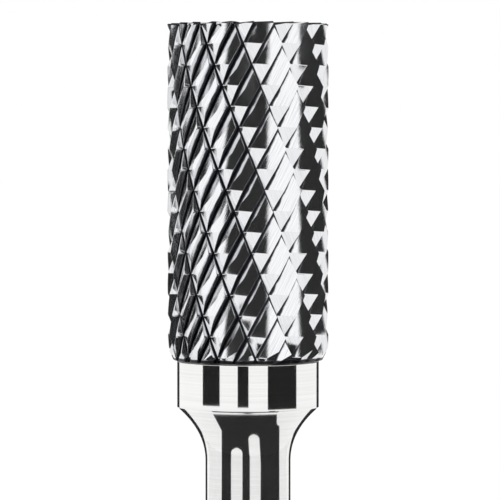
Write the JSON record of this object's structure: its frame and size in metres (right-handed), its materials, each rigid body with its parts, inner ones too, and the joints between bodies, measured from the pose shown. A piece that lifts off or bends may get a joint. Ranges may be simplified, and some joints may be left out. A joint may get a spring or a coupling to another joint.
{
  "type": "carbide burr",
  "caption": "Cylindrical rotary cutting burr with crossed spiral teeth and an end cut, on a round steel shank for a collet.",
  "frame": {"origin": "centre of the shank's flat end", "axes": "+Z along the axis, from the shank's flat end to the cutting tip; +X and +Y across it, with the tooth pattern turned as the front view (looking along +Y) shows it"},
  "size_m": [0.012, 0.012, 0.07],
  "materials": {
    "ground_carbide": "sintered tungsten carbide, teeth ground bright",
    "silver_braze": "silver braze, ground flush",
    "ground_steel": "turned and ground steel, bright"
  },
  "bodies": {
    "root": {"carbide_head": "ground_carbide", "braze_seam": "silver_braze", "steel_shank": "ground_steel"}
  },
  "joints": []
}
